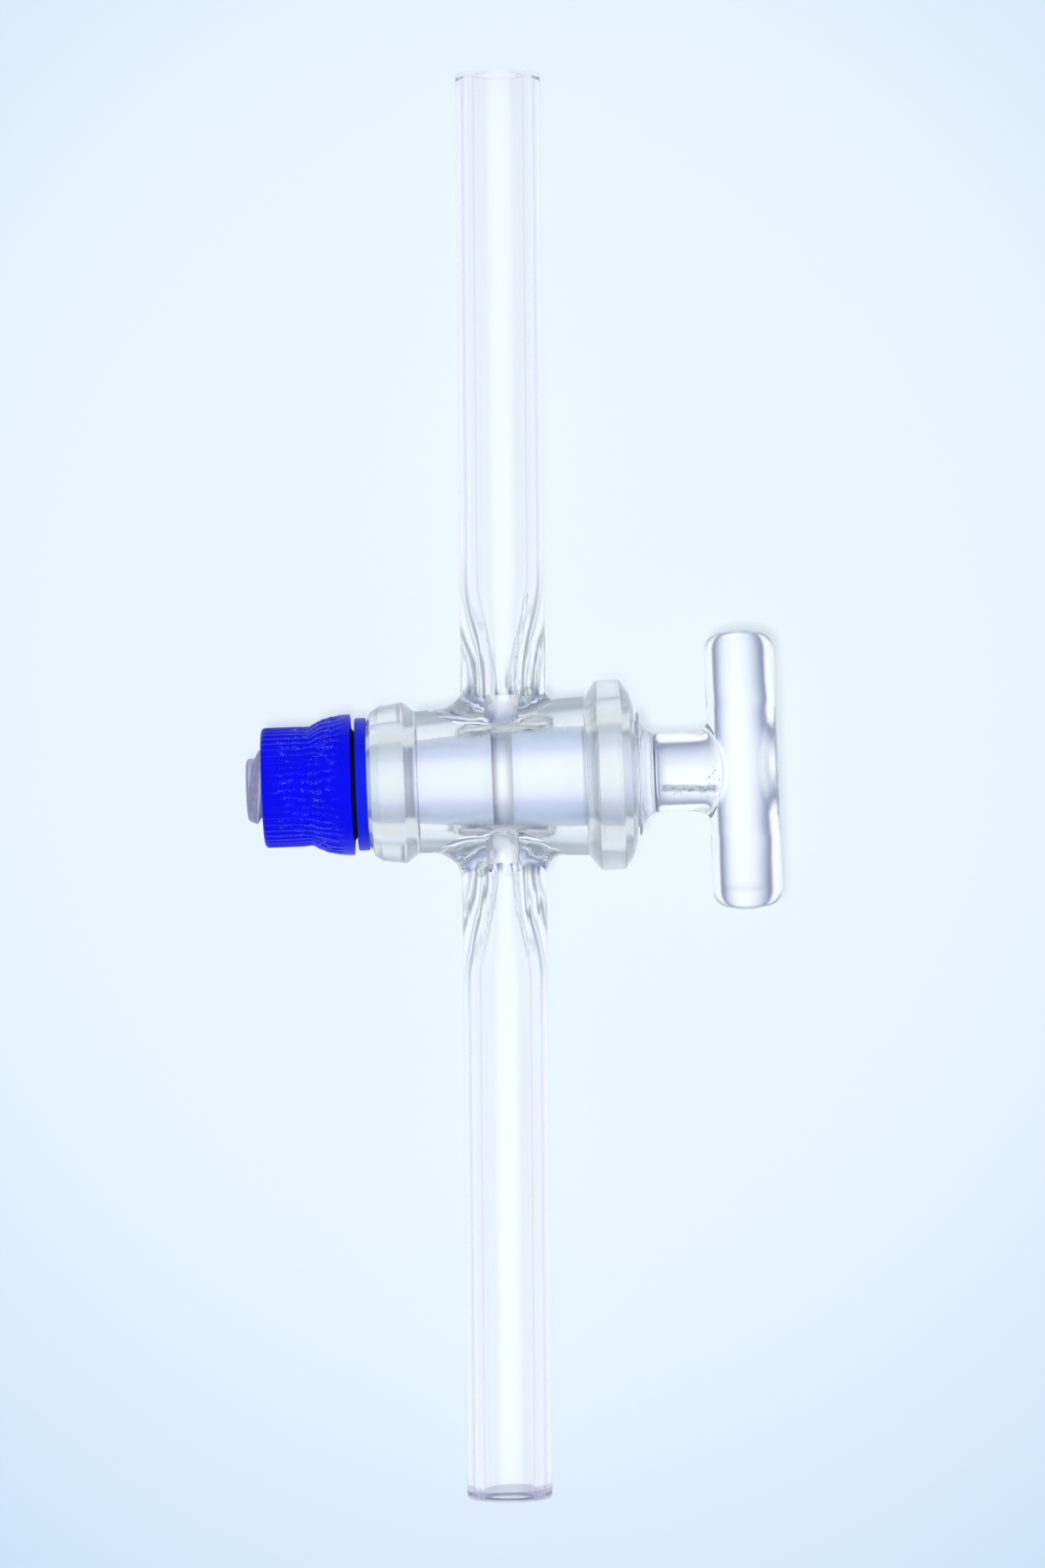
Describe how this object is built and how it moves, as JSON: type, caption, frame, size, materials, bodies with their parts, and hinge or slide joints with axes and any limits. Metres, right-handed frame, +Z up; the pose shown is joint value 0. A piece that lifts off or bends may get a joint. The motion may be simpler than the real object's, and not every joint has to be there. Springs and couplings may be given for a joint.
{
  "type": "glass stopcock",
  "caption": "Straight-bore laboratory stopcock: tapered glass key with a bar handle turns in a barrel with two tube arms, held by a blue screw nut.",
  "frame": {"origin": "under the middle of the part's box, at the height of the lowest point of the large bead that it lies on", "axes": "+X along the key from the nut to the bar handle, +Y along the shorter (upper) arm, +Z up"},
  "size_m": [0.0624, 0.167, 0.0223],
  "materials": {
    "barrel_glass": "clear, colourless, fire-polished outside and finely ground in the socket",
    "key_glass": "clear, colourless, finely ground on the taper",
    "washer_plastic": "smooth royal blue plastic",
    "ring_rubber": "black, matt",
    "nut_plastic": "royal blue plastic with fine ribs"
  },
  "bodies": {
    "barrel": {"barrel": "barrel_glass"},
    "key": {"key": "key_glass", "washer": "washer_plastic"},
    "o_ring": {"o_ring": "ring_rubber"},
    "nut": {"nut": "nut_plastic"}
  },
  "joints": [
    {"name": "key_turn", "type": "hinge", "parent": "barrel", "child": "key", "pos_m": [-0.00104, 0.00085, 0.01114], "axis": [1, 0, 0], "continuous": true},
    {"name": "nut_travel", "type": "slide", "parent": "key", "child": "o_ring", "axis": [-1, 0, 0], "range_m": [0, 0.0084]},
    {"name": "nut_turn", "type": "hinge", "parent": "o_ring", "child": "nut", "pos_m": [-0.00104, 0.00085, 0.01114], "axis": [-1, 0, 0], "range_deg": [0, 1080]}
  ],
  "couplings": [
    {"joint": "nut_turn", "follows": "nut_travel", "rad_per_m": 2244}
  ]
}
